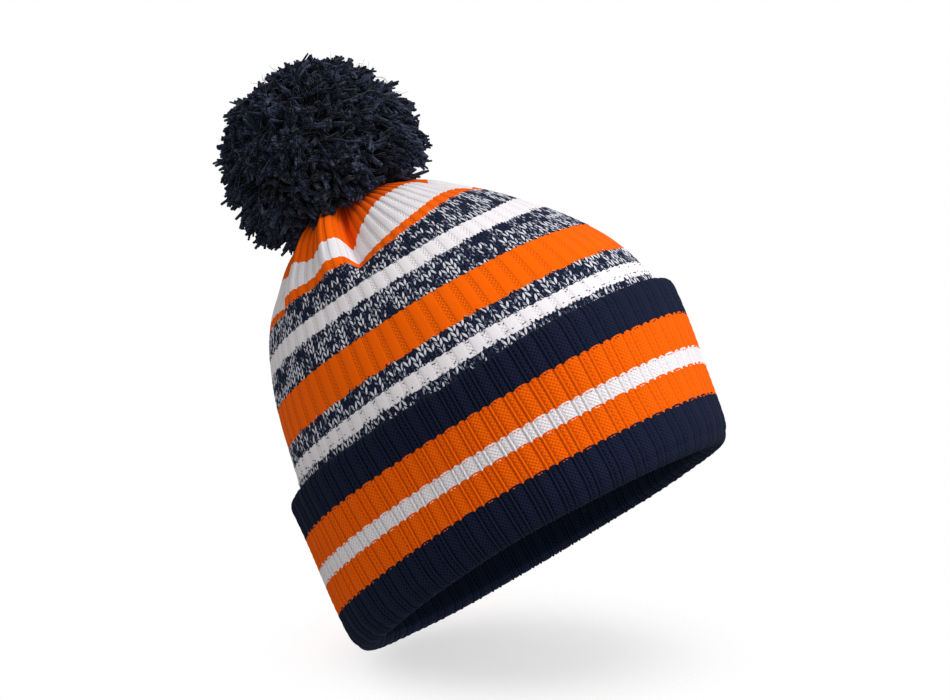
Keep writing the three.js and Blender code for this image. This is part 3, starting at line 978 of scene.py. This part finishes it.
def pomPlies(curve):
    # every end splits into plies that twist round each other and fray apart at the tip
    ends, rings = curve.shape[:2]
    t = np.linspace(0, 1, rings)
    sideA, sideB = acrossPath(curve, steep=0.9)
    start = rng.uniform(0, 2 * np.pi, (ends, 1, 1))
    twist = start + np.arange(pom["plies"])[None, :, None] * 2 * np.pi / pom["plies"] + 4.5 * t[None, None, :]
    fray = 0.6 + 0.6 * t[None, None, :] ** 2.5 * rng.uniform(0.0, 1.4, (ends, pom["plies"], 1))
    off = (pom["plyRadius"] * fray)[..., None]
    standOff = np.cos(twist)[..., None] * sideA[:, None] + np.sin(twist)[..., None] * sideB[:, None]
    centres = curve[:, None] + off * standOff
    shorten = 1 - rng.uniform(0, 0.16, (ends, pom["plies"], 1, 1)) * t[None, None, :, None]
    centres = curve[:, None, :1] + (centres - curve[:, None, :1]) * shorten
    flat = centres.reshape(-1, rings, 3)
    taper = np.array([0.8, 1, 1, 1, 1.05, 1.1, 0.85])       # one for each ring
    thick = pom["plyRadius"] * taper * rng.uniform(0.75, 1.15, (len(flat), 1))
    return tubeAlong(flat, thick, 4)


def pomPiece(name, grids, toneAndPaintedLight):
    verts, quads = manyGrids(grids, True)
    return addPiece(name, verts, quads, pomYarn, "pom_yarn", "pom", ["pom_yarn"], {"strandToneAndPaintedLight": toneAndPaintedLight})


def buildPom():
    curve, heads = pomStrands(pom["ends"], 0.035, 1.02)
    tubes = pomPlies(curve)
    count, rings, corners = tubes.shape[:3]
    perEnd = np.repeat(rng.normal(0, 0.10, len(curve)), pom["plies"])
    t = np.linspace(0, 1, rings)[None, :, None]
    # painted shade towards the roots and a painted highlight towards the tips, over random brightness for each
    # ply and end
    toneAndPaintedLight = rng.normal(0, 0.12, (count, 1, 1)) + perEnd[:, None, None] - 0.45 + 0.85 * t ** 1.8
    toneAndPaintedLight = toneAndPaintedLight + np.zeros((1, 1, corners))
    turn = np.repeat(np.arctan2(heads[:, 1], heads[:, 0]), pom["plies"])
    sector = np.minimum((turn / (2 * np.pi) + 0.5) * pom["pieces"], pom["pieces"] - 0.01).astype(int)
    low = np.repeat(heads[:, 2] < pom["skirt"], pom["plies"])
    for number in range(pom["pieces"]):
        here = (sector == number) & ~low
        pomPiece(f"pom_ends_{number + 1}", tubes[here], toneAndPaintedLight[here])
    # the lowest ends, in quarters, each a piece with a mesh of its own
    quarter = np.round(turn / (np.pi / 2)).astype(int) % 4
    for number, (name, joint) in enumerate((("right", "pom_sway"), ("back", "pom_nod"), ("left", "pom_sway"),
                                            ("front", "pom_nod"))):
        here = (quarter == number) & low
        piece = pomPiece("pom_skirt_" + name, tubes[here], toneAndPaintedLight[here])
        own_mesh(piece)
    # loose single fibres, paler where they catch the light
    wisps, heads = pomStrands(pom["wisps"], 0.12, 1.0)
    wisps = wisps[heads[:, 2] > pom["skirt"]]
    thin = 0.2 * np.array([1, 1, 1, 1, 0.9, 0.7, 0.2])
    threads = tubeAlong(wisps, np.broadcast_to(thin, wisps.shape[:2]), 3)
    pomPiece("pom_fibres", threads, np.repeat(rng.uniform(0.1, 0.8, len(wisps)), threads[0].size // 3))
    # the middle ball that closes the gaps between ends, darkened with painted shade
    turn = np.linspace(-np.pi, np.pi, 96, endpoint=False)[None, :]
    tilt = np.linspace(-np.pi / 2, np.pi / 2, 48)[:, None]
    lumps = 1 + 0.03 * np.sin(9 * turn) * np.cos(7 * tilt) + 0.02 * np.sin(17 * turn + 11 * tilt)
    level = np.cos(tilt)
    ball = np.stack([level * np.cos(turn), level * np.sin(turn), np.sin(tilt) + 0 * turn], axis=-1)
    ball = ball * (pom["core"] * lumps)[..., None] * np.array(pom["half"]) + np.array(pom["centre"])
    ball[..., 2] = np.maximum(ball[..., 2], 208.0 + 0.3 * np.hypot(ball[..., 0] - middleX, ball[..., 1]))
    pomPiece("pom_middle", ball[None], np.full(48 * 96, -0.6))


buildPom()
print("pompom cut")

# Soft studio light, a white surround, and a pale floor that lies square to the camera's own upright.
light = {
    "world": 0.4,
    "key": 9.5, "keySize": 0.7,
    "fill": 5.0, "fillSize": 1.6,
    "overhead": 0.27, "overheadSpread": 45.0,   # falls on the floor only, and casts the soft shadow there
    "wash": 2.15,                               # brings the floor up to white, and casts no shadow
    "floorTilt": 13.0,                          # degrees towards the camera
    "floorDrop": 154.0,                         # mm below the view's middle
    "floorAcross": 27.0, "floorBehind": 40.0,   # its middle, to the camera's right and beyond the hat
    "floorSize": (300.0, 230.0),
    "floorFade": (0.3, 0.95),                   # from its middle to its rim
}


def addLight(name, kind, direction, distance, power, size):
    # a soft light that looks at the hat; the direction is in the camera's own right, up and back
    data = bpy.data.lights.new(name, kind)
    data.energy = power
    if kind == "AREA":
        data.size = size
    else:
        data.angle = math.radians(size)
    lamp = addObject(name, data)
    away = unit(np.array(direction) @ np.stack([cameraRight, cameraUp, cameraBack]))
    side = unit(np.cross([0.0, 0.0, 1.0], away))
    axes = np.stack([side, np.cross(away, side), away, np.array([0, 0, 0.13]) + away * distance], axis=1)
    lamp.matrix_world = Matrix([*axes.tolist(), [0, 0, 0, 1]])
    return lamp


def lightOnly(lamp, floor, only):
    # the lamp lights nothing but the floor, or everything except it
    receivers = bpy.data.collections.new(lamp.name + "_receivers")
    receivers.objects.link(floor)
    receivers.collection_objects[0].light_linking.link_state = "INCLUDE" if only else "EXCLUDE"
    lamp.light_linking.receiver_collection = receivers


def makeWorld():
    # seen directly it is white; as light it is softer
    world = bpy.data.worlds.new("studio")
    bpy.context.scene.world = world
    world.use_nodes = True
    nodes = world.node_tree.nodes
    plug(world, nodes["Background"], {"Color": (1, 1, 1, 1), "Strength": light["world"]})
    white = addNode(world, "Background", {"Color": (1, 1, 1, 1)})
    seen = addNode(world, "LightPath")
    mix = addNode(world, "MixShader", {0: seen.outputs["Is Camera Ray"], 1: nodes["Background"], 2: white})
    plug(world, nodes["World Output"], {"Surface": mix})


def makeFloor():
    # a round of pale floor under the hat that fades out towards its rim, and is clear when seen from below
    tilt = math.radians(light["floorTilt"])
    up = cameraUp * math.cos(tilt) + cameraBack * math.sin(tilt)
    ahead = np.cross(up, cameraRight)
    middle = cameraRight * light["floorAcross"] - cameraUp * light["floorDrop"] + ahead * light["floorBehind"]
    middle = middle + np.array([0, 0, view["aim"][1]])
    wide, deep = light["floorSize"]
    t = np.linspace(0, 2 * np.pi, 72, endpoint=False)[:, None]
    rim = middle + cameraRight * wide / 2 * np.cos(t) + ahead * deep / 2 * np.sin(t)
    fan = [(0, 1 + number, 1 + (number + 1) % len(rim)) for number in range(len(rim))]
    mesh = bpy.data.meshes.new("floor")
    mesh.from_pydata((np.vstack([middle, rim]) * mm).tolist(), [], fan)
    outwards = mesh.attributes.new("outwards", "FLOAT", "POINT")
    outwards.data.foreach_set("value", np.r_[0, np.ones(len(rim))])
    material, add, dress = newMaterial("matPaleFloor")
    place = add("Attribute", attribute_name="outwards")
    fade = add("MapRange", {"Value": place.outputs["Fac"], "From Min": light["floorFade"][0],
                            "From Max": light["floorFade"][1], "To Min": 1.0, "To Max": 0.0},
               interpolation_type="SMOOTHSTEP")
    under = add("NewGeometry")
    above = add("Math", {0: 1.0, 1: under.outputs["Backfacing"]}, operation="SUBTRACT")
    shown = add("Math", {0: fade, 1: above}, operation="MULTIPLY")
    dress({"Base Color": linear("#f4f4f4"), "Roughness": 0.9, "Alpha": shown})
    mesh.materials.append(material)
    floor = addObject("floor", mesh)
    return floor


makeWorld()
floor = makeFloor()
key = addLight("key", "AREA", (0.8, 0.75, 0.5), 1.1, light["key"], light["keySize"])
fill = addLight("fill", "AREA", (0.0, 0.1, 1.0), 1.5, light["fill"], light["fillSize"])
overhead = addLight("overhead", "SUN", (-0.3, 1.0, 0.15), 1.0, light["overhead"], light["overheadSpread"])
wash = addLight("wash", "SUN", (0.0, 1.0, 0.3), 1.0, light["wash"], 10.0)
wash.data.use_shadow = False
lightOnly(key, floor, False)
lightOnly(fill, floor, False)
lightOnly(overhead, floor, True)
lightOnly(wash, floor, True)
bpy.context.scene.view_settings.view_transform = "Standard"
